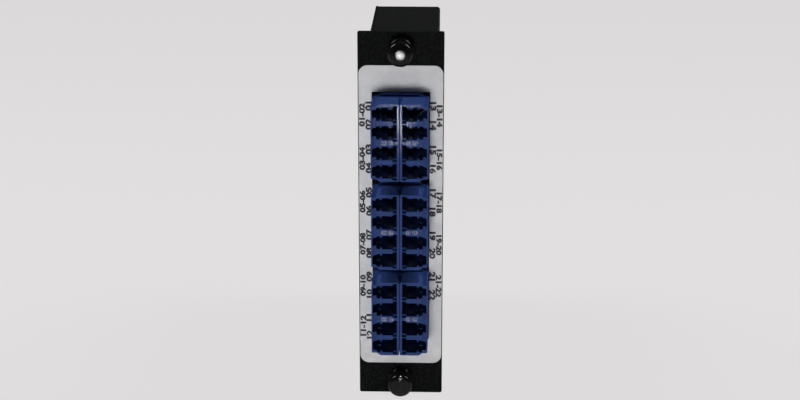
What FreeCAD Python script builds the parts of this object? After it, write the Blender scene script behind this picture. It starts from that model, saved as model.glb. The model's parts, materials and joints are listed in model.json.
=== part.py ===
"""Fibre patch module: a faceplate carrying six quad adapters, closed by a sheet housing.

Millimetres. The origin is the centre of the faceplate's rear face, +X is to the right
as seen from the front, +Y runs back into the panel and +Z is up.
"""
import FreeCAD, Part
import math
import os
import re
import Sketcher

# Driving sizes, each set by itself.
SIZES = {
    "port_pitch": 6.25,
    "centre_pitch": 7.0,
    "port_width": 5.0,
    "port_height": 4.6,
    "inner_wall": 0.8,
    "outer_wall": 0.45,
    "end_wall": 1.15,
    "notch_width": 1.35,
    "notch_web": 0.4,
    "notch_depth": 1.9,
    "tooth_width": 0.6,
    "tooth_height": 0.65,
    "tooth_grip": 0.3,
    "latch_height": 3.5,
    "bay_width": 1.3,
    "bay_taper": 0.25,
    "slot_width": 1.25,
    "slot_height": 2.9,
    "mouth_depth": 5.5,
    "channel_width": 0.95,
    "channel_depth": 1.0,
    "latch_step": 0.9,
    "corner_chamfer": 0.35,
    "adapter_reach": 15.9,
    "collar_thick": 2.4,
    "groove_width": 4.5,
    "groove_depth": 0.8,
    "relief_width": 0.85,
    "relief_length": 7.6,
    "relief_depth": 1.0,
    "web_thick": 1.5,
    "adapter_gap": 0.2,
    "row_gap": 4.5,
    "collar_lip": 0.7,
    "collar_side": 0.5,
    "rear_reach": 12.4,
    "panel_clearance": 0.1,
    "ferrule_radius": 0.625,
    "ferrule_clearance": 0.01,
    "sleeve_wall": 0.18,
    "sleeve_length": 11.4,
    "sleeve_clearance": 0.03,
    "sleeve_end_gap": 0.4,
    "barrel_wall": 0.3,
    "plug_clearance": 0.1,
    "plug_tail": 3.0,
    "boot_width": 3.2,
    "boot_length": 16.0,
    "boot_tip": 1.9,
    "clip_thick": 0.4,
    "clip_length": 3.2,
    "clip_clearance": 0.05,
    "clip_arm": 1.0,
    "tongue_rise": 0.9,
    "tongue_width": 5.0,
    "plate_thick": 1.6,
    "plate_overhang": 2.0,
    "plate_corner": 0.6,
    "fastener_offset": 4.0,
    "fastener_edge": 6.0,
    "label_thick": 0.25,
    "label_side": 0.3,
    "label_inset": 11.35,
    "label_corner": 3.0,
    "label_clearance": 0.25,
    "sheet_thick": 1.0,
    "side_bay": 1.95,
    "end_bay": 9.65,
    "fibre_bay": 13.1,
    "rear_bay": 7.5,
    "bend_radius": 1.2,
    "tab_height": 7.0,
    "tab_margin": 2.0,
    "post_radius": 2.5,
    "post_front": 9.0,
    "post_edge": 5.0,
    "package_length": 44.0,
    "package_height": 34.0,
    "package_thick": 8.0,
    "stem_radius": 1.3,
    "stem_clearance": 0.05,
    "stud_radius": 2.4,
    "stud_length": 3.0,
    "neck_step": 0.3,
    "neck_clearance": 0.05,
    "finger_length": 5.0,
    "finger_tip": 0.5,
    "finger_slot": 0.7,
    "flange_radius": 4.15,
    "flange_thick": 3.0,
    "flange_chamfer": 0.6,
    "knob_radius": 4.15,
    "knob_length": 5.9,
    "knob_gap": 0.4,
    "knob_dome": 12.5,
    "knob_flat": 1.9,
    "knob_chamfer": 0.45,
}

# Sizes and places worked out from the driving ones.
PLACES = {
    "adapter_width": "inner_wall + port_width + tooth_width + bay_width + slot_width + outer_wall",
    "adapter_height": "2*port_pitch + centre_pitch + port_height + 2*end_wall",
    "ferrule_offset": "inner_wall + port_width/2",
    "ferrule_place": "adapter_gap/2 + ferrule_offset",
    "row_pitch": "adapter_height + row_gap",
    "pair_width": "2*adapter_width + adapter_gap",
    "rear_width": "adapter_width - collar_side",
    "rear_height": "adapter_height - 2*collar_lip",
    "sleeve_inner": "ferrule_radius + ferrule_clearance",
    "sleeve_outer": "sleeve_inner + sleeve_wall",
    "barrel_bore": "sleeve_outer + sleeve_clearance",
    "barrel_radius": "barrel_bore + barrel_wall",
    "barrel_seat": "sleeve_length/2 + sleeve_end_gap",
    "plug_start": "sleeve_length/2 + sleeve_end_gap - plate_thick",
    "rear_end": "rear_reach - plate_thick",
    "plug_end": "rear_end + plug_tail",
    "boot_end": "plug_end + boot_length",
    "package_start": "boot_end + fibre_bay",
    "package_end": "package_start + package_length",
    "inner_depth": "package_end + rear_bay",
    "housing_depth": "inner_depth + sheet_thick",
    "inner_width": "pair_width + 2*side_bay",
    "inner_height": "3*adapter_height + 2*row_gap + 2*end_bay",
    "housing_width": "inner_width + 2*sheet_thick",
    "housing_height": "inner_height + 2*sheet_thick",
    "fastener_place": "housing_height/2 + fastener_offset",
    "plate_width": "housing_width + 2*plate_overhang",
    "plate_height": "2*fastener_place + 2*fastener_edge",
    "label_width": "plate_width - 2*label_side",
    "label_height": "plate_height - 2*label_inset",
    "post_place": "inner_height/2 - post_edge",
    "post_rear": "package_end + rear_bay/2",
    "package_place": "inner_height/4",
    "neck_radius": "stud_radius + neck_step",
    "grommet_bore": "stem_radius + stem_clearance",
    "finger_end": "stud_length + finger_length",
    "flange_front": "-plate_thick - flange_thick",
    "knob_back": "flange_front - knob_gap",
    "knob_front": "knob_back - knob_length",
}

ROWS = {"top": 1, "middle": 0, "bottom": -1}
COLUMNS = {"left": -1, "right": 1}
LOWEST_PORT = "-centre_pitch/2 - port_pitch"
PORT_STEPS = [("Z_Axis", "port_pitch", 2), ("Z_Axis", "port_pitch + centre_pitch", 2)]
ALL_STEPS = PORT_STEPS + [("Z_Axis", "2*row_pitch", 3), ("X_Axis", "2*ferrule_place", 2)]
PLANES = {"x": ("YZ_Plane", 1), "y": ("XZ_Plane", -1), "z": ("XY_Plane", 1)}
TUBE_SIDES = 8
TINY = 1e-4

doc = FreeCAD.newDocument("fibre_patch_module")
owner = {}
pieces = []


def bound(formula):
    """The formula with every size pointed at its cell."""
    return re.sub("[a-z][a-z_]+", lambda word: owner[word[0]] + "." + word[0], formula)


def fill_sheet(name, cells, as_text):
    sheet = doc.addObject("Spreadsheet::Sheet", name)
    for line, (alias, content) in enumerate(cells.items(), 1):
        owner[alias] = name
        sheet.set(f"A{line}", alias)
        sheet.set(f"B{line}", as_text(content))
        sheet.setAlias(f"B{line}", alias)
    doc.recompute()


def body(label):
    made = doc.addObject("PartDesign::Body", label)
    made.Label = label
    pieces.append(made)
    return made


def copy_of(master, label):
    """A body that follows another one's shape at a place of its own."""
    copy = body(label)
    base = copy.newObject("PartDesign::FeatureBase", label + "_base")
    base.BaseFeature = master
    copy.Tip = base
    return copy


def rectangle(left, right, low, high):
    return [(left, low), (right, low), (right, high), (left, high)]


def centred(width, height, across="0", up="0"):
    return rectangle(f"{across} - ({width})/2", f"{across} + ({width})/2",
                     f"{up} - ({height})/2", f"{up} + ({height})/2")


def mirrored(upper):
    """A closed outline from its upper half, given as pairs of distance and half height."""
    lower = [(across, f"-({up})") for across, up in reversed(upper)]
    return upper + lower


def turns(sides):
    """Cosine and sine of each corner of an even-sided ring."""
    angles = [math.tau * (corner + 0.5) / sides for corner in range(sides)]
    return [(math.cos(angle), math.sin(angle)) for angle in angles]


def ring(radius, across, up, sides=TUBE_SIDES):
    """A small round outline with few sides, because it is repeated at every port."""
    return [(f"{across} + ({radius})*{c:.6f}", f"{up} + ({radius})*{s:.6f}") for c, s in turns(sides)]


def split_ring(inner, outer, across, up):
    """A round wall with one open side."""
    return ring(outer, across, up) + ring(inner, across, up)[::-1]


def shifted(outline, up):
    return [(across, f"{height} + ({up})") for across, height in outline]


def new_sketch(owner_body, name, axis, height):
    """An empty sketch square to the axis at that height."""
    role, sign = PLANES[axis]
    sketch = owner_body.newObject("Sketcher::SketchObject", name)
    plane = next(part for part in owner_body.Origin.OriginFeatures if part.Role == role)
    sketch.AttachmentSupport = (plane, [""])
    sketch.MapMode = "FlatFace"
    sketch.setExpression("AttachmentOffset.Base.z", bound(f"{sign}*({height})"))
    return sketch


def hold(sketch, rules, formulas):
    """Constraints whose values follow the formulas."""
    start = sketch.ConstraintCount
    sketch.addConstraint(rules)
    for number, formula in enumerate(formulas, start):
        sketch.setExpression(f"Constraints[{number}]", bound(formula))


def fixed_point(geometry, point, across, up):
    return [Sketcher.Constraint("DistanceX", -1, 1, geometry, point, across),
            Sketcher.Constraint("DistanceY", -1, 1, geometry, point, up)]


def draw(owner_body, name, axis, height, outlines):
    """A sketch of closed outlines; a circle is a tuple of three formulas."""
    sketch = new_sketch(owner_body, name, axis, height)
    for outline in outlines:
        first = sketch.GeometryCount
        if isinstance(outline, tuple):
            sketch.addGeometry(Part.Circle(FreeCAD.Vector(1, 1, 0), FreeCAD.Vector(0, 0, 1), 1))
            hold(sketch, fixed_point(first, 3, 1, 1) + [Sketcher.Constraint("Radius", first, 1)],
                 outline)
            continue
        count = len(outline)
        points = [FreeCAD.Vector(c, s, 0) for c, s in turns(count)]
        sketch.addGeometry([Part.LineSegment(a, b) for a, b in zip(points, points[1:] + points[:1])])
        sketch.addConstraint([Sketcher.Constraint("Coincident", first + corner, 2,
                                                  first + (corner + 1) % count, 1)
                              for corner in range(count)])
        for corner, formulas in enumerate(outline):
            hold(sketch, fixed_point(first + corner, 1, points[corner].x, points[corner].y),
                 formulas)
    return sketch


def slab(owner_body, name, axis, start, end, outlines):
    """Material between two heights on the axis."""
    forward = PLANES[axis][1] > 0
    sketch = draw(owner_body, name + "_sketch", axis, start if forward else end, outlines)
    pad = owner_body.newObject("PartDesign::Pad", name)
    pad.Profile = sketch
    pad.setExpression("Length", bound(f"({end}) - ({start})"))
    doc.recompute()
    return pad


def cut(owner_body, name, axis, start, end, outlines):
    """Material taken away between two heights on the axis."""
    forward = PLANES[axis][1] > 0
    before = owner_body.Shape.Volume
    sketch = draw(owner_body, name + "_sketch", axis, end if forward else start, outlines)
    pocket = owner_body.newObject("PartDesign::Pocket", name)
    pocket.Profile = sketch
    pocket.setExpression("Length", bound(f"({end}) - ({start})"))
    doc.recompute()
    if owner_body.Shape.Volume > before - TINY:
        raise RuntimeError(f"{owner_body.Label}: {name} cuts nothing")
    return pocket


def turn(owner_body, name, sketch):
    """A solid of revolution about the body's Y axis."""
    turned = owner_body.newObject("PartDesign::Revolution", name)
    turned.Profile = sketch
    turned.ReferenceAxis = (sketch, ["V_Axis"])
    turned.Angle = 360
    doc.recompute()
    return turned


def repeat(owner_body, name, steps, originals=None):
    """Copies of the features, or of the whole body, along the body's axes."""
    axes = {part.Role: part for part in owner_body.Origin.OriginFeatures}
    pattern = owner_body.newObject("PartDesign::MultiTransform", name)
    if originals:
        pattern.Originals = originals
    else:
        pattern.TransformMode = "Whole shape"
    rows = []
    for number, (axis, length, count) in enumerate(steps):
        row = owner_body.newObject("PartDesign::LinearPattern", f"{name}_{number}")
        row.Direction = (axes[axis], [""])
        row.setExpression("Length", bound(length))
        row.Occurrences = count
        rows.append(row)
    pattern.Transformations = rows
    owner_body.Tip = pattern
    doc.recompute()
    return pattern


def edge_names(shape, keep):
    return [f"Edge{number}" for number, edge in enumerate(shape.Edges, 1) if keep(edge.BoundBox)]


def round_edges(owner_body, name, base, radius, keep):
    """A fillet on the edges whose boxes are kept."""
    fillet = owner_body.newObject("PartDesign::Fillet", name)
    fillet.Base = (base, edge_names(base.Shape, keep))
    fillet.setExpression("Radius", bound(radius))
    doc.recompute()


def place(piece, across="0", back="0", up="0", axis=(0, 1, 0), angle=0):
    piece.Placement.Rotation = FreeCAD.Rotation(FreeCAD.Vector(*axis), angle)
    for letter, formula in zip("xyz", (across, back, up)):
        piece.setExpression(f"Placement.Base.{letter}", bound(formula))


def upright(box, shape_box):
    """Whether an edge runs along Y at one of the outer corners."""
    side = min(abs(box.XMin - shape_box.XMin), abs(box.XMax - shape_box.XMax)) < TINY
    end = min(abs(box.ZMin - shape_box.ZMin), abs(box.ZMax - shape_box.ZMax)) < TINY
    return side and end and box.XLength < TINY and box.ZLength < TINY


def post_spots():
    return [(depth, f"{end}*post_place") for depth in ("post_front", "post_rear") for end in (1, -1)]


def make_faceplate():
    plate = body("faceplate")
    blank = slab(plate, "plate_blank", "y", "-plate_thick", "0",
                 [centred("plate_width", "plate_height")])
    outer = blank.Shape.BoundBox
    round_edges(plate, "plate_corners", blank, "plate_corner",
                lambda box: upright(box, outer))
    windows = [centred("2*rear_width + adapter_gap + 2*panel_clearance",
                       "rear_height + 2*panel_clearance", "0", f"{row}*row_pitch")
               for row in ROWS.values()]
    cut(plate, "plate_windows", "y", "-plate_thick", "0", windows)
    necks = [("0", f"{end}*fastener_place", "neck_radius + neck_clearance") for end in (1, -1)]
    cut(plate, "plate_fastener_holes", "y", "-plate_thick", "0", necks)


def make_label():
    label = body("legend_label")
    sheet = slab(label, "label_blank", "y", "-plate_thick - label_thick", "-plate_thick",
                 [centred("label_width", "label_height")])
    outer = sheet.Shape.BoundBox
    round_edges(label, "label_corners", sheet, "label_corner",
                lambda box: upright(box, outer))
    window = centred("pair_width + 2*label_clearance",
                     "2*row_pitch + adapter_height + 2*label_clearance")
    cut(label, "label_window", "y", "-plate_thick - label_thick", "-plate_thick", [window])


def make_adapter_front(label):
    """The half in front of the plate: distances run outward from the inner face."""
    front = body(label)
    latch_start = "inner_wall + port_width + tooth_width"
    latch_end = latch_start + " + bay_width"
    slot_end = latch_end + " + slot_width"
    top = "adapter_height/2"
    low_top = "adapter_height/2 - latch_step"
    shell = mirrored([("0", top + " - corner_chamfer"), ("corner_chamfer", top),
                      (latch_start, top), (latch_end, low_top),
                      ("adapter_width - corner_chamfer", low_top),
                      ("adapter_width", low_top + " - corner_chamfer")])
    slab(front, "front_shell", "y", "-adapter_reach", "0", [shell])
    groove = [rectangle("-collar_thick - groove_width", "-collar_thick",
                        top + " - groove_depth", top),
              rectangle("-collar_thick - groove_width", "-collar_thick",
                        "-" + top, "-" + top + " + groove_depth")]
    cut(front, "front_groove", "x", "0", "adapter_width", groove)
    relief = [("0", "-collar_thick - groove_width"),
              ("relief_width", "-collar_thick - groove_width"),
              ("0", "-collar_thick - groove_width - relief_length")]
    cut(front, "front_relief_top", "z", top + " - relief_depth", top, [relief])
    cut(front, "front_relief_bottom", "z", "-" + top, "-" + top + " + relief_depth", [relief])
    half = "port_height/2"
    notch = mirrored([("inner_wall", "(port_pitch - notch_web)/2"),
                      ("inner_wall + notch_width", "(port_pitch - notch_web)/2")])
    notches = cut(front, "front_notch", "y", "-adapter_reach", "-adapter_reach + notch_depth",
                  [shifted(notch, LOWEST_PORT)])
    mouth = mirrored([("inner_wall", half), ("inner_wall + port_width", half),
                      ("inner_wall + port_width", half + " - tooth_height"),
                      (latch_start, half + " - tooth_height"),
                      (latch_start, half),
                      (latch_end, half + " - bay_taper"),
                      (latch_end, "slot_height/2"),
                      (slot_end, "slot_height/2")])
    mouths = cut(front, "front_mouth", "y", "-adapter_reach", "-adapter_reach + mouth_depth",
                 [shifted(mouth, LOWEST_PORT)])
    grip = "inner_wall + port_width + tooth_grip"
    bay = mirrored([("inner_wall", half), (grip, half), (grip, "latch_height/2"),
                    (slot_end, "latch_height/2")])
    bays = cut(front, "front_bay", "y", "-adapter_reach + mouth_depth", "-web_thick",
               [shifted(bay, LOWEST_PORT)])
    barrels = slab(front, "front_barrel", "y", "-barrel_seat", "-web_thick",
                   [ring("barrel_radius", "ferrule_offset", LOWEST_PORT)])
    bores = cut(front, "front_bore", "y", "-barrel_seat", "0",
                [ring("barrel_bore", "ferrule_offset", LOWEST_PORT)])
    repeat(front, "front_ports", PORT_STEPS, [notches, mouths, bays, barrels, bores])
    cut(front, "front_channel", "y", "-adapter_reach", "-adapter_reach + channel_depth",
        [rectangle(latch_end, latch_end + " + channel_width", LOWEST_PORT, f"-({LOWEST_PORT})")])
    return front


def make_adapter_rear(label):
    """The half that passes through the plate."""
    rear = body(label)
    slab(rear, "rear_shell", "y", "0", "rear_reach",
         [rectangle("0", "rear_width", "-rear_height/2", "rear_height/2")])
    bays = cut(rear, "rear_bay", "y", "0", "rear_reach",
               [centred("port_width", "port_height", "ferrule_offset", LOWEST_PORT)])
    repeat(rear, "rear_ports", PORT_STEPS, [bays])
    return rear


def make_adapter_clip(label):
    """A spring band round the rear half with two tongues that bear on the plate."""
    clip = body(label)
    near = "rear_height/2 + clip_clearance"
    far = near + " + clip_thick"
    side = "rear_width + clip_clearance"
    band = [("clip_arm", near), (side, near), (side, f"-({near})"), ("clip_arm", f"-({near})"),
            ("clip_arm", f"-({far})"), (side + " + clip_thick", f"-({far})"),
            (side + " + clip_thick", far), ("clip_arm", far)]
    start = "plate_thick + clip_clearance"
    end = start + " + clip_length"
    slab(clip, "clip_band", "y", start, end, [band])
    tongues = []
    for sign in (1, -1):
        tongues.append([(end, f"{sign}*({near})"), (end, f"{sign}*({far})"),
                        (start, f"{sign}*({far} + tongue_rise)"),
                        (start, f"{sign}*({near} + tongue_rise)")])
    slab(clip, "clip_tongues", "x", "ferrule_offset - tongue_width/2",
         "ferrule_offset + tongue_width/2", tongues)
    return clip


def make_adapters():
    """Six quad adapters; those on the left are turned half round about Y."""
    for kind, make in (("front", make_adapter_front), ("rear", make_adapter_rear),
                       ("clip", make_adapter_clip)):
        master = None
        for row_name, row in ROWS.items():
            for column_name, column in COLUMNS.items():
                label = f"adapter_{kind}_{row_name}_{column_name}"
                piece = copy_of(master, label) if master else make(label)
                master = master or piece
                place(piece, f"{column}*adapter_gap/2", "-plate_thick", f"{row}*row_pitch",
                      angle=90 - 90*column)


def make_port_fittings():
    """Alignment sleeves, and the factory-fitted plugs behind the plate with their boots."""
    across, up = "-ferrule_place", f"-row_pitch + ({LOWEST_PORT})"
    sleeves = body("alignment_sleeves")
    start, end = "-plate_thick - sleeve_length/2", "-plate_thick + sleeve_length/2"
    slab(sleeves, "sleeve_tube", "y", start, end,
         [split_ring("sleeve_inner", "sleeve_outer", across, up)])
    repeat(sleeves, "sleeve_all", ALL_STEPS)
    ferrules = body("pigtail_ferrules")
    slab(ferrules, "ferrule_rod", "y", "-plate_thick + ferrule_clearance", "plug_start",
         [ring("ferrule_radius", across, up)])
    repeat(ferrules, "ferrule_all", ALL_STEPS)
    plugs = body("pigtail_plugs")
    slab(plugs, "plug_block", "y", "plug_start", "plug_end",
         [centred("port_width - 2*plug_clearance", "port_height - 2*plug_clearance", across, up)])
    repeat(plugs, "plug_all", ALL_STEPS)
    boots = body("pigtail_boots")
    slab(boots, "boot_wedge", "x", f"{across} - boot_tip/2", f"{across} + boot_tip/2",
         [[("plug_end", f"{up} - boot_width/2"), ("boot_end", f"{up} - boot_tip/2"),
           ("boot_end", f"{up} + boot_tip/2"), ("plug_end", f"{up} + boot_width/2")]])
    repeat(boots, "boot_all", ALL_STEPS)


def make_tray():
    """Right wall, top, bottom and rear in one folded sheet, with two front tabs."""
    tray = body("housing_tray")
    block = slab(tray, "tray_block", "y", "0", "housing_depth",
                 [rectangle("-inner_width/2", "housing_width/2",
                            "-housing_height/2", "housing_height/2")])
    outer = block.Shape.BoundBox

    def folded(box):
        right = abs(box.XMin - outer.XMax) < TINY
        back = abs(box.YMin - outer.YMax) < TINY
        level = box.ZLength < TINY
        return (right and (back or level and box.XLength < TINY)) or (back and level)

    round_edges(tray, "tray_bends", block, "bend_radius", folded)
    cut(tray, "tray_inside", "y", "0", "inner_depth",
        [rectangle("-inner_width/2", "inner_width/2", "-inner_height/2", "inner_height/2")])
    reach = "inner_width/2 - tab_margin"
    slab(tray, "tray_tabs", "y", "0", "sheet_thick",
         [rectangle(f"-({reach})", reach, "inner_height/2 - tab_height", "inner_height/2"),
          rectangle(f"-({reach})", reach, "-inner_height/2", "-inner_height/2 + tab_height")])


def make_cover():
    cover = body("housing_cover")
    slab(cover, "cover_sheet", "x", "-housing_width/2", "-inner_width/2",
         [rectangle("0", "housing_depth", "-housing_height/2", "housing_height/2")])


def make_posts():
    """Six-sided posts between the tray and the cover."""
    posts = body("cover_posts")
    slab(posts, "post_rods", "x", "-inner_width/2", "inner_width/2",
         [ring("post_radius", depth, up, 6) for depth, up in post_spots()])


def make_packages():
    """Sealed filter packages on the right wall."""
    for label, end in (("filter_package_upper", 1), ("filter_package_lower", -1)):
        package = body(label)
        slab(package, "package_block", "x", "inner_width/2 - package_thick", "inner_width/2",
             [rectangle("package_start", "package_end", "-package_height/2", "package_height/2")])
        place(package, up=f"{end}*package_place")


def make_grommet(label, end):
    """Panel fastener: a flange, a neck in the plate, a stud and four split fingers."""
    grommet = body(label)
    profile = [("grommet_bore", "flange_front"),
               ("flange_radius - flange_chamfer", "flange_front"),
               ("flange_radius", "flange_front + flange_chamfer"),
               ("flange_radius", "-plate_thick"), ("neck_radius", "-plate_thick"),
               ("neck_radius", "0"), ("stud_radius", "0"), ("stud_radius", "stud_length"),
               ("stud_radius - finger_tip", "finger_end"), ("grommet_bore", "finger_end")]
    turn(grommet, "grommet_turned", draw(grommet, "grommet_profile", "z", "0", [profile]))
    span = "2*neck_radius"
    cut(grommet, "grommet_slot_level", "y", "stud_length", "finger_end",
        [centred(span, "finger_slot")])
    cut(grommet, "grommet_slot_upright", "y", "stud_length", "finger_end",
        [centred("finger_slot", span)])
    place(grommet, up=f"{end}*fastener_place")


def make_plunger(label, end):
    """Push-pull knob with a low dome round a flat middle, on a stem that spreads the fingers."""
    plunger = body(label)
    rim = "knob_radius - knob_chamfer"
    shoulder = f"knob_front + knob_dome - (knob_dome^2 - ({rim})^2)^0.5"
    profile = [("0", "knob_front"), ("knob_flat", "knob_front"), (rim, shoulder),
               ("knob_radius", shoulder + " + knob_chamfer"), ("knob_radius", "knob_back"),
               ("stem_radius", "knob_back"), ("stem_radius", "finger_end"), ("0", "finger_end")]
    turn(plunger, "plunger_turned", draw(plunger, "plunger_profile", "z", "0", [profile]))
    place(plunger, up=f"{end}*fastener_place")


def make_all():
    make_faceplate()
    make_label()
    make_adapters()
    make_port_fittings()
    make_tray()
    make_cover()
    make_posts()
    make_packages()
    for name, end in (("top", 1), ("bottom", -1)):
        make_grommet("grommet_" + name, end)
        make_plunger("plunger_" + name, end)


def check_and_write():
    doc.recompute()
    for item in doc.Objects:
        if "Invalid" in item.State or "Error" in item.State:
            raise RuntimeError(f"{item.Label} failed: {item.State}")
    for piece in pieces:
        if piece.Shape.isNull() or not piece.Shape.isValid() or not piece.Shape.Solids:
            raise RuntimeError(f"{piece.Label} has no valid shape")
    os.makedirs("parts", exist_ok=True)
    for piece in pieces:
        piece.Shape.exportStep(f"parts/{piece.Label}.step")


fill_sheet("sizes", SIZES, str)
fill_sheet("places", PLACES, lambda formula: "=" + bound(formula))
make_all()
check_and_write()
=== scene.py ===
"""Looks of the fibre patch module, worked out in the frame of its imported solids.

Blender's lengths are metres; lengths written here are millimetres and are turned into metres by
MM or mm(). +X is to the right as seen from the front, +Y runs back into the panel, +Z is up.
"""
import bmesh
import bpy
import json
import math
import numpy as np
from mathutils import Matrix, Vector


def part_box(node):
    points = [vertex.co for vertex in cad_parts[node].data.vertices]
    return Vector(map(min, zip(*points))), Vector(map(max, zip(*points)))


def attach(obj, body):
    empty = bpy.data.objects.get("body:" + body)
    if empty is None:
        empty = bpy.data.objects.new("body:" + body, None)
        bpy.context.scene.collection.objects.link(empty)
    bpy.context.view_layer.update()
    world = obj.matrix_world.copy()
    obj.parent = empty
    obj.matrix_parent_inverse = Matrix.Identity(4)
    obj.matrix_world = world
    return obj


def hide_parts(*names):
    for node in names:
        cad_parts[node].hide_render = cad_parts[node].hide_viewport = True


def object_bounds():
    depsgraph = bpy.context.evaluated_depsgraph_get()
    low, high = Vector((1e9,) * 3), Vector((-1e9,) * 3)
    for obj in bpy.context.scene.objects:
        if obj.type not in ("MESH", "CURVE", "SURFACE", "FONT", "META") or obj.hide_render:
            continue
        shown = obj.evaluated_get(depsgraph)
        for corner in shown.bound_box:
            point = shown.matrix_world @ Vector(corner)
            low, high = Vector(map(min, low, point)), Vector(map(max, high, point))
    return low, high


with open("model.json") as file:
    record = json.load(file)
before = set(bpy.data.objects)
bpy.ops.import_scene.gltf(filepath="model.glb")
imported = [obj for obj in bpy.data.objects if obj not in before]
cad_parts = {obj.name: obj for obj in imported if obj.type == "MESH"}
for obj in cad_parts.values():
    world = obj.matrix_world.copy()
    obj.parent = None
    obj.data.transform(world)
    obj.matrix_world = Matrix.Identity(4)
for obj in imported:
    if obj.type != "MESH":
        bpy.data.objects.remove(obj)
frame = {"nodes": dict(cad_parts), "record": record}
cad_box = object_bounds()

MM = 0.001
ROWS = ("top", "middle", "bottom")
COLUMNS = {"left": -1, "right": 1}
ENDS = ("top", "bottom")

# Camera fitted to the photograph: place in millimetres, angles in radians, focal length and image
# width in pixels, sensor width in millimetres, nearest seen distance in metres.
CAMERA_PLACE = (15.5, -540.2, 176.7)
CAMERA_YAW = -0.0293
CAMERA_PITCH = 0.306
FOCAL_PIXELS = 1658
IMAGE_WIDTH = 800
SENSOR_WIDTH = 36
NEAREST_SEEN = 0.01

# Lamps: places, aims and sizes in millimetres, power in watts, spread in degrees.
MIDDLE = (0, 0, 0)
LOWER_KNOB = (0, -13, -60)
LAMPS = {
    "low_strip": dict(place=(-40, -620, -35), aim=(0, 0, -20), size=(130, 55), watts=0.295,
                      spread=60),
    "dot_lamp": dict(place=(-10, -350, -18), aim=(0, 0, 58), size=(34, 30), watts=0.016,
                     spread=40, mirrored=True),
    "rib_lamp": dict(place=(-9.5, -367.5, -55), aim=(0, 0, 38), size=(3, 20), watts=0.0013,
                     spread=40, mirrored=True),
    "knob_lamp": dict(place=(-2, -237, 273), aim=LOWER_KNOB, size=(34, 34), watts=0.006,
                      spread=9, mirrored=True, lighting=False),
    "streak_lamp": dict(place=(-4, -400, 0), aim=LOWER_KNOB, size=(110, 80), watts=0.009,
                        spread=16, mirrored=True, lighting=False),
    "left_box": dict(place=(-650, 90, 700), aim=MIDDLE, size=(300, 450), watts=8.7, mirrored=True),
    "right_box": dict(place=(650, 90, 700), aim=MIDDLE, size=(300, 450), watts=8.7, mirrored=True),
    "left_fill": dict(place=(-900, 300, 120), aim=(0, 50, 0), size=(500, 500), watts=1.3,
                      spread=40),
    "right_fill": dict(place=(900, 300, 120), aim=(0, 50, 0), size=(500, 500), watts=1.3,
                       spread=40),
}
STUDIO_SHADE = (0.745, 0.737, 0.745, 1)
STUDIO_STRENGTH = 0.09

# Floor: half its side in metres, its shade, and how much of that shade shows unlit to the camera
# and in glossy surfaces.
FLOOR_REACH = 4.0
FLOOR_SHADE = (0.723, 0.708, 0.708, 1)
SEEN_GLOW = 0.94
MIRRORED_GLOW = 0.1

# Printed legend in millimetres: where its lines lie on the label and how tall the figures are.
FIRST_PAIR = 36.4
PAIR_PITCH = 15.25
HALF_PAIR = 3.3
PORT_LINE = 9.8
PAIR_LINE = 12.05
PORT_FIGURE = 2.15
PAIR_FIGURE = 2.0
INK_THICK = 0.02
# How far the figures are widened, how much their strokes are fattened, and their curves' steps.
FIGURE_STRETCH = 1.4
STROKE_GAIN = 0.055
FIGURE_STEPS = 3
# Numbers on each side of the seam: the first port, and how many pairs are numbered.
FIRST_PORT = {-1: 1, 1: 13}
LABELLED_PAIRS = {-1: 6, 1: 5}

# Pads on the adapters' middle ribs in millimetres: distance from the seam and shape.
PADS = {
    5.15: dict(half_width=0.98, half_height=0.78, rise=0.1, dish=0.03),
    2.85: dict(half_width=0.86, half_height=0.74, rise=0.08, dish=0.08),
}

# Points nearer than these, in metres, are one point: in new surfaces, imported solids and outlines.
NEW_MERGE = 1e-7
PACKED_MERGE = 1e-6
OUTLINE_MERGE = 1e-9
# Angles in degrees: faces are one flat below the first, an edge is rounded above the second, and
# faces are shaded as one surface below the third, or the fourth on turned pieces.
FLAT_ANGLE = 0.3
SHARP_ANGLE = 32
SMOOTH_ANGLE = 35
TURNED_ANGLE = 30
# Further back in millimetres than any edge of the part.
ANY_DEPTH = 1000

# Sockets of a Mix node that is set to colours.
MIX_FACTOR, MIX_FIRST, MIX_SECOND, MIX_RESULT = 0, 6, 7, 2


def mm(*lengths):
    """Lengths given in millimetres, as metres."""
    return np.array(lengths) * MM


class Socket:
    """One output of a finish's nodes; arithmetic on it adds Math nodes."""

    def __init__(self, finish, output):
        self.finish = finish
        self.output = output

    def reckon(self, operation, first, second):
        return self.finish.node("ShaderNodeMath", {"operation": operation}, {0: first, 1: second})

    def __add__(self, other):
        return self.reckon("ADD", self, other)

    def __sub__(self, other):
        return self.reckon("SUBTRACT", self, other)

    def __rsub__(self, other):
        return self.reckon("SUBTRACT", other, self)

    def __mul__(self, other):
        return self.reckon("MULTIPLY", self, other)

    __radd__ = __add__
    __rmul__ = __mul__


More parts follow.
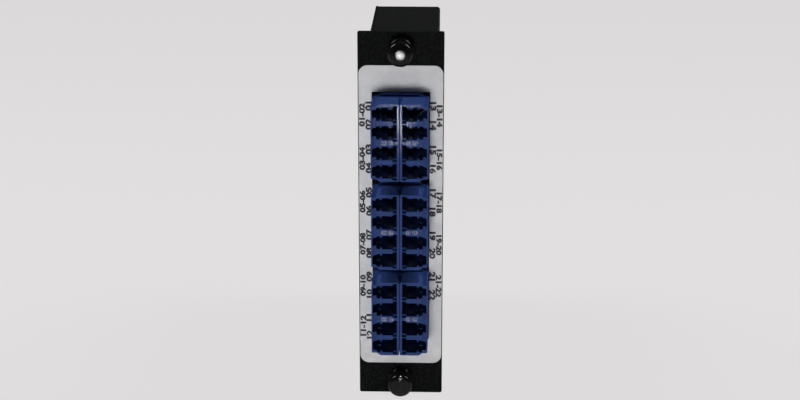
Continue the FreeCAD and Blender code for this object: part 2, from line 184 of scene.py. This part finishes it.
class Finish:
    """A material with one principled shader and Object coordinates in millimetres."""

    def __init__(self, name, **constants):
        self.material = bpy.data.materials.new(name)
        self.material.use_nodes = True
        self.tree = self.material.node_tree
        self.shader = self.tree.nodes["Principled BSDF"]
        for socket, value in constants.items():
            self.shader.inputs[socket.replace("_", " ")].default_value = value
        place = self.node("ShaderNodeTexCoord", output="Object")
        self.place = self.node("ShaderNodeMapping", {}, {"Vector": place, "Scale": (1 / MM,) * 3})

    def node(self, kind, settings=None, inputs=None, output=0):
        """A node of that kind, with its settings, then the values or links of its sockets."""
        made = self.tree.nodes.new(kind)
        for name, value in (settings or {}).items():
            if name == "stops":
                self.set_stops(made.color_ramp, value)
            else:
                setattr(made, name, value)
        for name, value in (inputs or {}).items():
            self.feed(made.inputs[name], value)
        return Socket(self, made.outputs[output])

    def set_stops(self, ramp, stops):
        """The ramp's stops, each a position and a grey."""
        for element, (position, shade) in zip(ramp.elements, stops):
            element.position = position
            element.color = (shade, shade, shade, 1)

    def feed(self, target, value):
        """Links an output to a socket, or sets the socket's own value."""
        if isinstance(value, Socket):
            self.tree.links.new(value.output, target)
        else:
            target.default_value = value

    def noise(self, size, detail=2.0, stretch=(1, 1, 1)):
        """Cloudy noise from 0 to 1 whose lumps are about that many millimetres across."""
        place = self.place
        if stretch != (1, 1, 1):
            place = self.node("ShaderNodeMapping", {}, {"Vector": place, "Scale": stretch})
        return self.node("ShaderNodeTexNoise", {},
                         {"Vector": place, "Scale": 1 / size, "Detail": detail})

    def cells(self, size):
        """Distance to the nearest of scattered points about that many millimetres apart."""
        return self.node("ShaderNodeTexVoronoi", {}, {"Vector": self.place, "Scale": 1 / size})

    def ramp(self, value, low, high):
        """0 below low, 1 above high and straight between."""
        return self.node("ShaderNodeValToRGB", {"stops": ((low, 0), (high, 1))}, {0: value})

    def tint(self, mask, first, second):
        """The first colour where the mask is 0 and the second where it is 1."""
        return self.node("ShaderNodeMix", {"data_type": "RGBA"},
                         {MIX_FACTOR: mask, MIX_FIRST: (*first, 1), MIX_SECOND: (*second, 1)},
                         output=MIX_RESULT)

    def relief(self, height, depth):
        """Fine relief of that depth in millimetres on the shader's normal."""
        bump = self.node("ShaderNodeBump", {},
                         {"Strength": 1.0, "Distance": depth * MM, "Height": height},
                         output="Normal")
        self.feed(self.shader.inputs["Normal"], bump)

    def colour(self, value):
        self.feed(self.shader.inputs["Base Color"], value)

    def rough(self, value):
        self.feed(self.shader.inputs["Roughness"], value)


def blue_moulding():
    """Moulded adapter plastic: cloudy blue, a satin skin and faint flow waves."""
    finish = Finish("blue_moulding", IOR=1.5, Specular_IOR_Level=0.07)
    deep, light = (0.0106, 0.0218, 0.074), (0.0164, 0.0327, 0.107)
    cloud = finish.noise(size=6.0)
    grain = finish.noise(size=0.22, detail=3.0)
    flow = finish.noise(size=2.6)
    finish.colour(finish.tint(cloud, deep, light))
    finish.rough(0.04 + grain * 0.07)
    finish.relief(grain * 0.05 + flow * 0.95, depth=0.02)
    return finish.material


def painted_highlight_blue():
    """Adapter plastic of the pads, with painted highlight: pale patches stand in for glints."""
    finish = Finish("painted_highlight_blue", IOR=1.5, Specular_IOR_Level=0.07)
    # Painted highlight: the pale colour is laid in patches set by the noise below, where glints would
    # be.
    pad_blue, painted_glint = (0.030, 0.044, 0.104), (0.128, 0.134, 0.162)
    glint_mask = finish.ramp(finish.noise(size=0.6, detail=3.0), low=0.42, high=0.62)
    finish.colour(finish.tint(glint_mask, pad_blue, painted_glint))
    finish.rough(0.25 + glint_mask * 0.3)
    finish.relief(glint_mask, depth=0.01)
    return finish.material


def powder_coat():
    """Black powder coat: fine rounded grains with a few duller specks."""
    finish = Finish("powder_coat", IOR=1.5, Specular_IOR_Level=0.02)
    black, grey = (0.0012, 0.0014, 0.0015), (0.0074, 0.0079, 0.0085)
    grains = finish.cells(size=0.34)
    specks = finish.ramp(finish.noise(size=0.45, detail=3.0), low=0.42, high=0.72)
    fine = finish.noise(size=0.16)
    finish.colour(finish.tint(specks, black, grey))
    finish.rough(0.52 + specks * 0.14)
    finish.relief((1 - grains) * 0.7 + fine * 0.3, depth=0.06)
    return finish.material


def satin_paint():
    """Smooth satin paint of the sheet housing, with a faint orange-peel wave."""
    finish = Finish("satin_paint", IOR=1.5, Specular_IOR_Level=0.04)
    black, grey = (0.0026, 0.0030, 0.0028), (0.0034, 0.0038, 0.0036)
    wave = finish.noise(size=1.1)
    cloud = finish.noise(size=9.0)
    finish.colour(finish.tint(cloud, black, grey))
    finish.rough(0.40 + wave * 0.12)
    finish.relief(wave, depth=0.02)
    return finish.material


def silver_film():
    """Satin silver-grey film of the legend: a fine grain over very soft mottling."""
    finish = Finish("silver_film", IOR=1.46)
    grey, silver = (0.286, 0.287, 0.296), (0.412, 0.413, 0.424)
    mottle = finish.ramp(finish.noise(size=4.5, detail=4.0), low=0.34, high=0.66)
    grain = finish.noise(size=0.3)
    finish.colour(finish.tint(mottle * 0.4 + grain * 0.6, grey, silver))
    finish.rough(0.44 + grain * 0.14)
    finish.relief(grain, depth=0.008)
    return finish.material


def black_nylon():
    """Turned black nylon of the fasteners: glossy, with slight pulled streaks."""
    finish = Finish("black_nylon", IOR=1.53, Specular_IOR_Level=0.11)
    black, grey = (0.0010, 0.0010, 0.0012), (0.0024, 0.0025, 0.0028)
    streak = finish.noise(size=0.7, detail=3.0)
    finish.colour(finish.tint(streak, black, grey))
    finish.rough(0.07 + streak * 0.09)
    finish.relief(streak, depth=0.012)
    return finish.material


def legend_ink():
    """Matt black printing ink with tiny pinholes of thinner cover."""
    finish = Finish("legend_ink", IOR=1.5)
    black, thin = (0.0065, 0.0065, 0.0070), (0.03, 0.03, 0.032)
    pinholes = finish.ramp(finish.noise(size=0.12), low=0.60, high=0.74)
    finish.colour(finish.tint(pinholes, black, thin))
    finish.rough(0.55 + pinholes * 0.2)
    return finish.material


def bright_metal(name, dark, light, roughness, grain_size, stretch):
    """Bare metal with a grain drawn out along one direction."""
    finish = Finish(name, Metallic=1.0)
    grain = finish.noise(grain_size, detail=3.0, stretch=stretch)
    finish.colour(finish.tint(grain, dark, light))
    finish.rough(roughness + grain * 0.18)
    finish.relief(grain, depth=0.006)
    return finish.material


def moulded(name, dark, light, roughness, lump, depth):
    """Plain moulded or pressed stuff: two close colours, uneven gloss and a fine skin."""
    finish = Finish(name, IOR=1.5)
    cloud = finish.noise(lump, detail=3.0)
    finish.colour(finish.tint(cloud, dark, light))
    finish.rough(roughness + cloud * 0.15)
    finish.relief(cloud, depth)
    return finish.material


FINISHES = {
    "adapter_blue": blue_moulding(),
    "plate_black": powder_coat(),
    "housing_black": satin_paint(),
    "label_silver": silver_film(),
    "nylon_black": black_nylon(),
    "spring_steel": bright_metal(
        "spring_steel", dark=(0.42, 0.42, 0.43), light=(0.58, 0.58, 0.59),
        roughness=0.26, grain_size=0.3, stretch=(0.1, 1, 1)),
    "package_metal": bright_metal(
        "package_metal", dark=(0.55, 0.55, 0.57), light=(0.68, 0.68, 0.70),
        roughness=0.34, grain_size=0.25, stretch=(1, 0.08, 1)),
    "post_metal": bright_metal(
        "post_metal", dark=(0.52, 0.52, 0.53), light=(0.66, 0.66, 0.67),
        roughness=0.28, grain_size=0.2, stretch=(1, 0.2, 0.2)),
    # Painted shade: the sleeves are a darker grey than white ceramic, standing in for the dim inside
    # of the ports.
    "ceramic_white": moulded(
        "ceramic_white", dark=(0.42, 0.41, 0.38), light=(0.52, 0.51, 0.48),
        roughness=0.16, lump=0.8, depth=0.004),
    "plug_blue": moulded(
        "plug_blue", dark=(0.020, 0.070, 0.290), light=(0.030, 0.090, 0.340),
        roughness=0.34, lump=1.2, depth=0.02),
    "boot_white": moulded(
        "boot_white", dark=(0.58, 0.58, 0.57), light=(0.66, 0.66, 0.65),
        roughness=0.62, lump=0.6, depth=0.03),
}


def grid_faces(rows, columns, wrap_rows=False, wrap_columns=False):
    """Four-cornered faces between the neighbours of a grid of points, as one array."""
    i, j = np.meshgrid(np.arange(rows - (not wrap_rows)), np.arange(columns - (not wrap_columns)),
                       indexing="ij")
    below, beside = (i + 1) % rows, (j + 1) % columns
    corners = [i * columns + j, i * columns + beside, below * columns + beside, below * columns + j]
    return np.stack(corners, -1).reshape(-1, 4)


def joined(parts):
    """Several pairs of points and faces as one pair."""
    starts = np.cumsum([0] + [len(points) for points, faces in parts[:-1]])
    all_points = np.concatenate([points for points, faces in parts])
    all_faces = np.concatenate([faces + start for start, (points, faces) in zip(starts, parts)])
    return all_points, all_faces


def repeated(part, places):
    """The same points and faces at every place."""
    points, faces = part
    return joined([(points + np.array(place), faces) for place in places])


def turned(profile, sides, closed=False):
    """A profile of radius and height carried round the Y axis: x = r cos t, y = h, z = r sin t."""
    radius, height = np.array(profile).T
    angle = np.linspace(0, math.tau, sides, endpoint=False)
    points = np.stack([np.outer(radius, np.cos(angle)), np.repeat(height[:, None], sides, 1),
                       np.outer(radius, np.sin(angle))], -1)
    return points.reshape(-1, 3), grid_faces(len(radius), sides, closed, True)


def unit(ways):
    """Each row divided by its length; a row without length stays zero."""
    shortest = 1e-12
    return ways / np.maximum(np.linalg.norm(ways, axis=1, keepdims=True), shortest)


def rounded(corners, bends, steps=5, closed=False):
    """A polyline whose corners give way to curves that start and end a bend's length from them.

    Each curve is the quadratic one through its start, the corner as control point, and its end.
    """
    corners = np.array(corners, float)
    before = np.roll(corners, 1, 0)
    after = np.roll(corners, -1, 0)
    reach = np.array(bends, float)[:, None]
    if not closed:
        reach[[0, -1]] = 0
    start = (corners + unit(before - corners) * reach)[:, None]
    end = (corners + unit(after - corners) * reach)[:, None]
    t = np.linspace(0, 1, steps)[None, :, None]
    curve = (1 - t) ** 2 * start + 2 * t * (1 - t) * corners[:, None] + t ** 2 * end
    points = curve.reshape(-1, 2)
    apart = np.linalg.norm(points - np.roll(points, 1, 0), axis=1) > OUTLINE_MERGE
    if not closed:
        apart[0] = True
    return points[apart]


def add_piece(name, part, slot, finish=None, body="module", smooth_angle=SMOOTH_ANGLE):
    """A piece from points and faces, with doubles merged and faces turned outwards."""
    points, faces = part
    mesh = bpy.data.meshes.new(name)
    mesh.from_pydata(points.tolist(), [], faces.tolist())
    form = bmesh.new()
    form.from_mesh(mesh)
    bmesh.ops.remove_doubles(form, verts=form.verts, dist=NEW_MERGE)
    bmesh.ops.recalc_face_normals(form, faces=form.faces)
    form.to_mesh(mesh)
    form.free()
    return dress(name, mesh, slot, finish, body, smooth_angle)


def dress(name, mesh, slot, finish=None, body="module", smooth_angle=SMOOTH_ANGLE):
    """A mesh as a piece on a body, with its slot's finish unless it has one of its own."""
    mesh.materials.clear()
    mesh.materials.append(FINISHES[slot] if finish is None else finish)
    mesh.shade_smooth()
    mesh.set_sharp_from_angle(angle=math.radians(smooth_angle))
    piece = bpy.data.objects.new(name, mesh)
    bpy.context.scene.collection.objects.link(piece)
    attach(piece, body)
    return piece


def softened_copy(node, name, slot, edge, depth=ANY_DEPTH, segments=2):
    """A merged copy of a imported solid, with its sharp edges rounded; edge and depth in millimetres.

    An edge is rounded where both its ends lie less than depth behind the front of the solid.
    """
    mesh = frame["nodes"][node].data.copy()
    mesh.name = name
    form = bmesh.new()
    form.from_mesh(mesh)
    bmesh.ops.remove_doubles(form, verts=form.verts, dist=PACKED_MERGE)
    bmesh.ops.dissolve_limit(form, angle_limit=math.radians(FLAT_ANGLE), verts=form.verts,
                             edges=form.edges)
    weight = form.edges.layers.float.new("bevel_weight_edge")
    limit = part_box(node)[0].y + depth * MM
    for side in form.edges:
        sharp = side.calc_face_angle(0) > math.radians(SHARP_ANGLE)
        side[weight] = float(sharp and max(corner.co.y for corner in side.verts) < limit)
    form.to_mesh(mesh)
    form.free()
    piece = dress(name, mesh, slot)
    bevel = piece.modifiers.new("soft_edges", "BEVEL")
    bevel.width = edge * MM
    bevel.segments = segments
    bevel.limit_method = "WEIGHT"
    bevel.harden_normals = True
    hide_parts(node)
    return piece


def dress_solids():
    """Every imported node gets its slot's finish."""
    for subpart in frame["record"]["subparts"]:
        materials = frame["nodes"][subpart["node"]].data.materials
        materials.clear()
        materials.append(FINISHES[subpart["material_slot"]])


def make_sheet_parts():
    """Plate, film, tray and cover with softened edges; the film isn't mirrored in the others."""
    softened_copy("faceplate", "coated_plate", "plate_black", edge=0.18)
    film = softened_copy("legend_label", "legend_film", "label_silver", edge=0.07)
    film.visible_glossy = False
    softened_copy("housing_tray", "painted_tray", "housing_black", edge=0.15)
    softened_copy("housing_cover", "painted_cover", "housing_black", edge=0.2)


def make_adapter_blocks():
    """Port blocks with their front outlines rounded; every face keeps its own shading."""
    for row in ROWS:
        for column in COLUMNS:
            block = softened_copy(f"adapter_front_{row}_{column}", f"port_block_{row}_{column}",
                                  "adapter_blue", edge=0.12, depth=0.1, segments=3)
            block.data.shade_flat()
            block.modifiers["soft_edges"].harden_normals = False


def barrel_places():
    """Where each ferrule axis, in the middle of a port, crosses the plate's front face."""
    openings = frame["record"]["physics"]["openings"]
    places = np.array([opening["box_m"] for opening in openings]).mean(1)
    places[:, 1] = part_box("faceplate")[0].y
    return places


def make_barrels():
    """Round sleeve barrels in the ports, turned about the ferrule axis.

    The section is a tube wall with a rounded mouth and an inward lip that keeps the sleeve in.
    """
    outer, inner, lip = mm(1.17, 0.775, 0.66)
    mouth, seat, root = mm(-6.13, -5.76, -1.4)
    corners = [(inner, root), (inner, seat), (lip, seat), (lip, mouth), (outer, mouth),
               (outer, root)]
    bends = mm(0, 0.03, 0.03, 0.1, 0.14, 0)
    barrel = turned(rounded(corners, bends), sides=28, closed=True)
    add_piece("sleeve_barrels", repeated(barrel, barrel_places()), "adapter_blue")


def make_sleeves():
    """Split ceramic sleeves: a closed wall section carried round Y, all but the slit.

    At both ends of the turn the section is pinched onto the middle of the wall, which closes it.
    """
    outer, inner, reach, bend = mm(0.77, 0.635, 5.7, 0.05)
    half_slit, turns = 0.35, 26
    corners = [(inner, reach), (inner, -reach), (outer, -reach), (outer, reach)]
    section = rounded(corners, [bend] * len(corners), steps=3, closed=True)
    angle = np.pad(np.linspace(half_slit, math.tau - half_slit, turns), 1, mode="edge")[:, None]
    radius = np.tile(section[:, 0], (len(angle), 1))
    radius[[0, -1]] = (outer + inner) / 2
    height = np.tile(section[:, 1], (len(angle), 1))
    points = np.stack([radius * np.cos(angle), height, radius * np.sin(angle)], -1).reshape(-1, 3)
    sleeve = (points, grid_faces(len(angle), len(section), False, True))
    piece = add_piece("ceramic_sleeves", repeated(sleeve, barrel_places()), "ceramic_white")
    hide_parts("alignment_sleeves")


def pad(half_width, half_height, rise, dish):
    """A low slab with a rounded outline, level on top or dished in the middle; millimetres.

    With r from the middle to the rim and t round it, x = a r sgn(cos t) sqrt|cos t| and
    z = b r sgn(sin t) sqrt|sin t|; the last two rings close it below its root.
    """
    root, shoulder, sides = -0.05, rise * 0.6, 32
    share = np.array([0, 0.6, 0.76, 0.93, 1, 1, 0])[:, None]
    height = mm(dish, dish, rise, rise, shoulder, root, root)[:, None]
    angle = np.linspace(0, math.tau, sides, endpoint=False)
    across = half_width * MM * share * np.sign(np.cos(angle)) * np.sqrt(np.abs(np.cos(angle)))
    up = half_height * MM * share * np.sign(np.sin(angle)) * np.sqrt(np.abs(np.sin(angle)))
    points = np.stack([across, -height * np.ones(sides), up], -1)
    return points.reshape(-1, 3), grid_faces(len(share), sides, False, True)


def make_rib_pads():
    """Two pads on each adapter's middle rib, the outer one dished; their pale patches are painted
    highlight.
    """
    parts = []
    for row in ROWS:
        for column, side in COLUMNS.items():
            low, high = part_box(f"adapter_front_{row}_{column}")
            middle = (low.z + high.z) / 2
            for distance, shape in PADS.items():
                parts.append(repeated(pad(**shape), [(side * distance * MM, low.y, middle)]))
    # Painted highlight: the pads' finish lays pale glint patches on them.
    add_piece("rib_pads", joined(parts), "adapter_blue", painted_highlight_blue())


def make_seam_webs():
    """Thin webs in the seam between the columns: a rounded slab section carried up Z.

    At both ends the section is pinched onto its middle, which closes it.
    """
    half, front, back, bend, margin = mm(0.08, 2.5, 12.0, 0.05, 0.3)
    corners = [(-half, front), (half, front), (half, back), (-half, back)]
    section = rounded(corners, [bend] * len(corners), steps=3, closed=True)
    middle = section.mean(0)
    rise = np.array([0, 0, 1, 1])[:, None] * np.ones(len(section))
    shrink = np.array([0, 1, 1, 0])[:, None]
    across = middle[0] + (section[:, 0] - middle[0]) * shrink
    faces = grid_faces(len(rise), len(section), False, True)
    parts = []
    for row in ROWS:
        low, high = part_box(f"adapter_front_{row}_left")
        along = low.y + middle[1] + (section[:, 1] - middle[1]) * shrink
        up = low.z + margin + (high.z - low.z - 2 * margin) * rise
        parts.append((np.stack([across, along, up], -1).reshape(-1, 3), faces))
    add_piece("seam_webs", joined(parts), "adapter_blue")


def fastener_place(end):
    """Where a fastener's axis crosses the plate's rear face."""
    low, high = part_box(f"grommet_{end}")
    return (0, 0, (low.z + high.z) / 2)


def make_plunger(end):
    """Knob and stem, turned about Y.

    The profile runs over a flat middle with a fine ring groove, a low dome and a rolled rim to the
    knob's back, and then down the neck and along the stem to its tip.
    """
    low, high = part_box(f"plunger_{end}")
    length, flat, stem, groove, groove_rim = mm(5.9, 1.65, 1.3, 0.07, 0.03)
    dome_inset, dome_fall, rim_fall, back_edge = mm(0.7, 0.42, 1.1, 0.5)
    neck, tip_length, tip_taper = mm(0.3, 0.4, 0.3)
    knob, front, tip = (high.x - low.x) / 2, low.y, high.y
    back = front + length
    corners = [
        (0, front), (flat - groove, front), (flat, front + groove),
        (flat + groove, front + groove_rim), (knob - dome_inset, front + dome_fall),
        (knob, front + rim_fall), (knob, back - back_edge), (knob - back_edge, back),
        (stem + neck, back), (stem, back + neck), (stem, tip - tip_length),
        (stem - tip_taper, tip), (0, tip)]
    bends = mm(0, 0.03, 0.03, 0.05, 0.5, 0.45, 0.25, 0.25, 0.15, 0.15, 0.2, 0.1, 0)
    knob_and_stem = turned(rounded(corners, bends, steps=7), sides=72)
    piece = add_piece(f"pull_knob_{end}", repeated(knob_and_stem, [fastener_place(end)]),
                      "nylon_black", body=f"plunger_{end}", smooth_angle=TURNED_ANGLE)
    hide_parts(f"plunger_{end}")


def finger(start, length, outer, tip, bore, slot):
    """One split finger: a quarter-ring outline between two slots, carried back along Y, narrowing.

    At radius r the outline runs from the angle whose sine is half the slot over r to its
    complement. Just before the tip the outer wall draws in. At both ends the outline is pinched
    onto the middle of the wall, which closes it.
    """
    steps, draw_in = 12, mm(0.06, 0.2)
    along = np.array([0, 0, 0.25, 0.5, 0.75, 0.92, 0.98, 1.0, 1.0])
    rings = np.stack([outer + (tip - outer) * along, np.full_like(along, bore)], 1)
    rings[-3:-1, 0] -= draw_in
    rings[[0, -1]] = rings[[1, -2]].mean(1, keepdims=True)
    edge = np.arcsin(slot / 2 / rings)[..., None]
    angle = edge + (math.pi / 2 - 2 * edge) * np.linspace(0, 1, steps)
    loop = rings[..., None, None] * np.stack([np.cos(angle), np.sin(angle)], -1)
    outline = np.concatenate([loop[:, 0], loop[:, 1, ::-1]], 1)
    height = np.repeat((start + length * along)[:, None], outline.shape[1], 1)
    points = np.stack([outline[..., 0], height, outline[..., 1]], -1).reshape(-1, 3)
    return points, grid_faces(len(along), outline.shape[1], False, True)


def make_grommet(end):
    """Flange, neck and stud as one closed wall turned about Y, and four split fingers behind."""
    low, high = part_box(f"grommet_{end}")
    flange, front, tip = (high.x - low.x) / 2, low.y, high.y
    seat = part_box("faceplate")[0].y
    bore, neck, stud, reach, slot = mm(1.35, 2.7, 2.4, 3.0, 0.7)
    face_inset, step, lip, lip_slope = mm(0.75, 0.25, 0.9, 0.2)
    overlap, taper = mm(0.01, 0.5)
    corners = [
        (bore, reach), (bore, front), (flange - face_inset, front), (flange - step, front + step),
        (flange - step, front + lip), (flange, front + lip + lip_slope), (flange, seat),
        (neck, seat), (neck, 0), (stud, 0), (stud, reach)]
    bends = mm(0, 0.12, 0.2, 0.2, 0.08, 0.1, 0.12, 0.05, 0.1, 0.05, 0.05)
    wall = turned(rounded(corners, bends, closed=True), sides=72, closed=True)
    points, faces = finger(reach - overlap, tip - reach + overlap, stud, stud - taper, bore, slot)
    turns = [np.array(Matrix.Rotation(math.radians(90 * quarter), 3, "Y")) for quarter in range(4)]
    grommet = joined([wall] + [(points @ turn.T, faces) for turn in turns])
    piece = add_piece(f"split_grommet_{end}", repeated(grommet, [fastener_place(end)]),
                      "nylon_black", smooth_angle=TURNED_ANGLE)
    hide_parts(f"grommet_{end}")


def screw_head(radius, height, socket, depth):
    """A low button head with a six-sided socket, on a grid of rings and turns about X.

    A ring's radius is round outside; inside the socket it is the flat distance over the cosine of
    the angle from the nearest flat. The crown rises with the sine of an arc, and its radius falls
    with the square of that sine. The first two rings close the head below its root.
    """
    sides, crown_rings, arc_end = 48, 8, math.pi / 2 * 0.72
    face, socket_mouth = socket * 1.35, 1.06
    root, rim, chamfer = mm(-0.05, 0.1, 0.04)
    angle = np.linspace(0, math.tau, sides, endpoint=False)
    hexagon = 1 / np.cos((angle % (math.pi / 3)) - math.pi / 6)
    arc = np.linspace(0, arc_end, crown_rings)
    share = np.sin(arc) / np.sin(arc[-1])
    rings = np.concatenate([
        np.outer((0, radius), np.ones(sides)),
        np.outer(radius - (radius - face) * share ** 2, np.ones(sides)),
        socket * np.outer((socket_mouth, 1, 1, 0), hexagon)])
    lift = np.concatenate([
        [root, root], rim + height * share * (1 - rim / height),
        [height, height - chamfer, height - depth, height - depth]])
    points = np.stack([np.repeat(-lift[:, None], sides, 1), rings * np.cos(angle),
                       rings * np.sin(angle)], -1)
    return points.reshape(-1, 3), grid_faces(len(lift), sides, False, True)


def make_cover_screws():
    """Four flat heads all but flush with the cover, over the posts."""
    low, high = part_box("cover_posts")
    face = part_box("housing_cover")[0].x
    radius, height, socket, depth = mm(2.5, 0.3, 0.95, 0.28)
    post_corner = 2.5 * MM
    post_flat = post_corner * math.cos(math.pi / 6)
    places = [(face, y, z) for y in (low.y + post_flat, high.y - post_flat)
              for z in (low.z + post_corner, high.z - post_corner)]
    heads = repeated(screw_head(radius, height, socket, depth), places)
    add_piece("cover_screws", heads, "housing_black", FINISHES["nylon_black"])


def flat_words(words, height):
    """A flat mesh of words of that height in the XY plane, standing on the middle of the X axis."""
    curve = bpy.data.curves.new("words", "FONT")
    curve.body = words
    curve.offset = STROKE_GAIN
    curve.align_x = "CENTER"
    curve.resolution_u = FIGURE_STEPS
    holder = bpy.data.objects.new("words", curve)
    bpy.context.scene.collection.objects.link(holder)
    bpy.context.view_layer.update()
    graph = bpy.context.evaluated_depsgraph_get()
    mesh = bpy.data.meshes.new_from_object(holder.evaluated_get(graph))
    bpy.data.objects.remove(holder)
    bpy.data.curves.remove(curve)
    places = np.empty(3 * len(mesh.vertices))
    mesh.vertices.foreach_get("co", places)
    foot, head = places[1::3].min(), places[1::3].max()
    scale = height / (head - foot)
    size = Matrix.Diagonal((scale * FIGURE_STRETCH, scale, scale, 1))
    mesh.transform(size @ Matrix.Translation((0, -foot, 0)))
    return mesh


def make_legend_print():
    """Port numbers beside the ports, pair numbers outside them; up on the left, down on the right.

    The words' X runs along the module, their Y points outwards and their Z out of the label.
    """
    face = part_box("legend_label")[0].y - INK_THICK * MM
    form = bmesh.new()
    for side in COLUMNS.values():
        turn = Matrix(((0, side, 0), (0, 0, -1), (-side, 0, 0))).to_4x4()
        for pair in range(LABELLED_PAIRS[side]):
            centre = FIRST_PAIR - PAIR_PITCH * pair
            number = FIRST_PORT[side] + 2 * pair
            lines = [(f"{number:02d}", PORT_FIGURE, PORT_LINE, centre + HALF_PAIR),
                     (f"{number + 1:02d}", PORT_FIGURE, PORT_LINE, centre - HALF_PAIR),
                     (f"{number:02d}-{number + 1:02d}", PAIR_FIGURE, PAIR_LINE, centre)]
            for words, height, across, up in lines:
                mesh = flat_words(words, height * MM)
                place = Matrix.Translation((side * across * MM, face, up * MM))
                mesh.transform(place @ turn)
                form.from_mesh(mesh)
                bpy.data.meshes.remove(mesh)
    mesh = bpy.data.meshes.new("legend_print")
    form.to_mesh(mesh)
    form.free()
    piece = dress("legend_print", mesh, "nylon_black", legend_ink())
    ink = piece.modifiers.new("ink_layer", "SOLIDIFY")
    ink.thickness = INK_THICK * MM
    ink.offset = -1


def make_stage():
    """A pale floor under the module, seen by the camera mostly at its own shade."""
    corners = [(-FLOOR_REACH, -FLOOR_REACH), (FLOOR_REACH, -FLOOR_REACH),
               (FLOOR_REACH, FLOOR_REACH), (-FLOOR_REACH, FLOOR_REACH)]
    mesh = bpy.data.meshes.new("floor")
    mesh.from_pydata([(x, y, cad_box[0].z) for x, y in corners], [], [(0, 1, 2, 3)])
    floor = bpy.data.objects.new("floor", mesh)
    bpy.context.scene.collection.objects.link(floor)
    finish = Finish("pale_floor", Base_Color=FLOOR_SHADE, Roughness=0.9, Specular_IOR_Level=0.0)
    seen = finish.node("ShaderNodeLightPath", output="Is Camera Ray")
    mirrored = finish.node("ShaderNodeLightPath", output="Is Glossy Ray")
    glow = finish.node("ShaderNodeEmission", {}, {"Color": FLOOR_SHADE, "Strength": 1.0})
    lit = Socket(finish, finish.shader.outputs[0])
    blend = finish.node("ShaderNodeMixShader", {},
                        {0: seen * SEEN_GLOW + mirrored * MIRRORED_GLOW, 1: lit, 2: glow})
    finish.feed(finish.tree.nodes["Material Output"].inputs["Surface"], blend)
    mesh.materials.append(finish.material)


def make_camera():
    """The camera fitted to the photograph."""
    lens = bpy.data.cameras.new("photo_camera")
    lens.sensor_width = SENSOR_WIDTH
    lens.lens = FOCAL_PIXELS * SENSOR_WIDTH / IMAGE_WIDTH
    lens.clip_start = NEAREST_SEEN
    camera = bpy.data.objects.new("photo_camera", lens)
    bpy.context.scene.collection.objects.link(camera)
    camera.location = Vector(CAMERA_PLACE) * MM
    camera.rotation_euler = (math.pi / 2 - CAMERA_PITCH, 0, -CAMERA_YAW)
    bpy.context.scene.camera = camera


def soft_light(name, place, aim, size, watts, spread=180, mirrored=False, lighting=True):
    """A rectangular lamp at a place, turned towards a point; millimetres, watts and degrees.

    Only the mirrored lamps show in glossy surfaces, and only the lighting ones light dull surfaces.
    """
    lamp = bpy.data.lights.new(name, "AREA")
    lamp.shape = "RECTANGLE"
    lamp.size, lamp.size_y = size[0] * MM, size[1] * MM
    lamp.energy = watts
    lamp.spread = math.radians(spread)
    holder = bpy.data.objects.new(name, lamp)
    bpy.context.scene.collection.objects.link(holder)
    holder.visible_glossy = mirrored
    holder.visible_diffuse = lighting
    holder.location = Vector(place) * MM
    holder.rotation_euler = (Vector(aim) - Vector(place)).to_track_quat("-Z", "Y").to_euler()


def make_light():
    """A faint even surround and the lamps."""
    world = bpy.data.worlds.new("studio")
    bpy.context.scene.world = world
    world.use_nodes = True
    surround = world.node_tree.nodes["Background"]
    surround.inputs["Color"].default_value = STUDIO_SHADE
    surround.inputs["Strength"].default_value = STUDIO_STRENGTH
    for name, lamp in LAMPS.items():
        soft_light(name, **lamp)


dress_solids()
make_sheet_parts()
make_adapter_blocks()
make_barrels()
make_sleeves()
make_rib_pads()
make_seam_webs()
for end in ENDS:
    make_plunger(end)
    make_grommet(end)
make_cover_screws()
make_legend_print()
make_stage()
make_camera()
make_light()
bpy.context.scene.view_settings.view_transform = "Standard"
